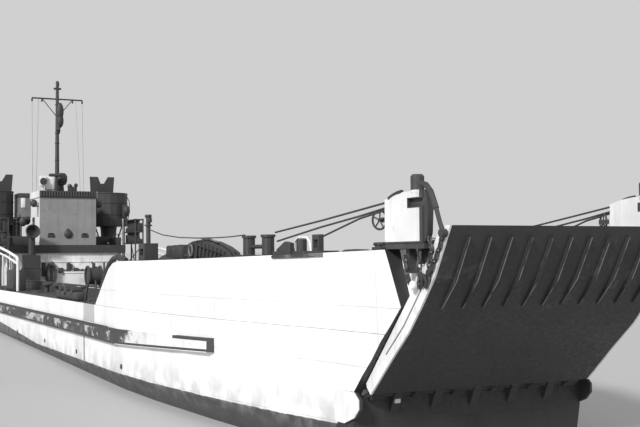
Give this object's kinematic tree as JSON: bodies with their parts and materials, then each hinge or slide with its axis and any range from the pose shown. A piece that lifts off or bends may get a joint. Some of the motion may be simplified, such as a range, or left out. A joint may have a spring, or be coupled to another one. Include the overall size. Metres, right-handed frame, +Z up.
{
  "type": "landing craft with bow door, 1:2 scale model",
  "caption": "Flat-bottomed landing craft at half size: open tank hold, raked bow door hinged at its foot, bridge aft, twin screws and rudders.",
  "frame": {"origin": "on the flat bottom, on the centreline, under the middle of the overall length", "axes": "+X forward to the bow door, +Y to port, +Z up"},
  "size_m": [29.07, 4.72, 7.6676],
  "materials": {
    "white_paint": "matt ship's paint with rust streaks",
    "grey_paint": "matt mid grey",
    "dark_paint": "matt dark grey, worn",
    "deck_paint": "rough deck paint",
    "bottom_paint": "matt antifouling",
    "bronze": "cast, dull",
    "canvas": "weathered canvas float cover"
  },
  "bodies": {
    "craft": {"hull_bottom": "bottom_paint", "side_tank_starboard": "white_paint", "side_tank_port": "white_paint", "stern_hull": "white_paint", "tank_deck": "deck_paint", "hold_coaming_starboard": "dark_paint", "hold_coaming_port": "dark_paint", "belting_starboard": "dark_paint", "belting_port": "dark_paint", "door_seal_starboard": "white_paint", "door_seal_port": "white_paint", "door_hinge_rod": "dark_paint", "horn_starboard": "white_paint", "horn_port": "white_paint", "bow_bitts_starboard": "dark_paint", "bow_bitts_port": "dark_paint", "bow_fairlead_starboard": "dark_paint", "bow_fairlead_port": "dark_paint", "square_fairlead_starboard": "dark_paint", "square_fairlead_port": "dark_paint", "stowed_gear_starboard": "dark_paint", "stowed_gear_port": "dark_paint", "deckhouse": "white_paint", "bridge_deck": "deck_paint", "wheelhouse": "grey_paint", "wheelhouse_roof": "dark_paint", "splinter_tub_starboard": "dark_paint", "splinter_tub_port": "dark_paint", "signal_platform": "grey_paint", "mast": "grey_paint", "engine_casing": "white_paint", "funnel": "grey_paint", "cowl_vent": "dark_paint", "hatch_coaming": "white_paint", "stern_winch": "dark_paint", "kedge_anchor": "dark_paint", "stern_bitts_starboard": "dark_paint", "stern_bitts_port": "dark_paint", "guard_rail_starboard": "grey_paint", "guard_rail_port": "grey_paint", "life_raft_starboard": "canvas", "ready_locker": "dark_paint", "shaft_bracket_starboard": "dark_paint", "shaft_bracket_port": "dark_paint"},
    "bow_door": {"bow_door": "dark_paint"},
    "propeller_starboard": {"propeller_starboard": "bronze"},
    "propeller_port": {"propeller_port": "bronze"},
    "rudder_starboard": {"rudder_starboard": "dark_paint"},
    "rudder_port": {"rudder_port": "dark_paint"},
    "house_door_starboard": {"house_door_starboard": "dark_paint"},
    "house_door_port": {"house_door_port": "dark_paint"},
    "wheelhouse_door_starboard": {"wheelhouse_door_starboard": "dark_paint"},
    "wheelhouse_door_port": {"wheelhouse_door_port": "dark_paint"},
    "hatch_lid": {"hatch_lid": "deck_paint"}
  },
  "joints": [
    {"name": "bow_door_hinge", "type": "hinge", "parent": "craft", "child": "bow_door", "pos_m": [12.84, 0, 0.925], "axis": [0, 1, 0], "range_deg": [0, 64]},
    {"name": "propeller_starboard_spin", "type": "hinge", "parent": "craft", "child": "propeller_starboard", "pos_m": [-13.2, -0.65, 0.26], "axis": [1, 0, 0], "continuous": true},
    {"name": "propeller_port_spin", "type": "hinge", "parent": "craft", "child": "propeller_port", "pos_m": [-13.2, 0.65, 0.26], "axis": [-1, 0, 0], "continuous": true},
    {"name": "rudder_starboard_turn", "type": "hinge", "parent": "craft", "child": "rudder_starboard", "pos_m": [-13.6, -0.65, 0.3], "axis": [0, 0, 1], "range_deg": [-35, 35]},
    {"name": "rudder_port_turn", "type": "hinge", "parent": "craft", "child": "rudder_port", "pos_m": [-13.6, 0.65, 0.3], "axis": [0, 0, 1], "range_deg": [-35, 35]},
    {"name": "house_door_starboard_hinge", "type": "hinge", "parent": "craft", "child": "house_door_starboard", "pos_m": [-8.1, -1.465, 2], "axis": [0, 0, 1], "range_deg": [0, 100]},
    {"name": "house_door_port_hinge", "type": "hinge", "parent": "craft", "child": "house_door_port", "pos_m": [-8.1, 1.465, 2], "axis": [0, 0, -1], "range_deg": [0, 100]},
    {"name": "wheelhouse_door_starboard_hinge", "type": "hinge", "parent": "craft", "child": "wheelhouse_door_starboard", "pos_m": [-8.15, -0.81, 3], "axis": [0, 0, 1], "range_deg": [0, 100]},
    {"name": "wheelhouse_door_port_hinge", "type": "hinge", "parent": "craft", "child": "wheelhouse_door_port", "pos_m": [-8.15, 0.81, 3], "axis": [0, 0, -1], "range_deg": [0, 100]},
    {"name": "hatch_lid_hinge", "type": "hinge", "parent": "craft", "child": "hatch_lid", "pos_m": [-11.456, 0, 1.87], "axis": [0, 1, 0], "range_deg": [0, 100]}
  ]
}
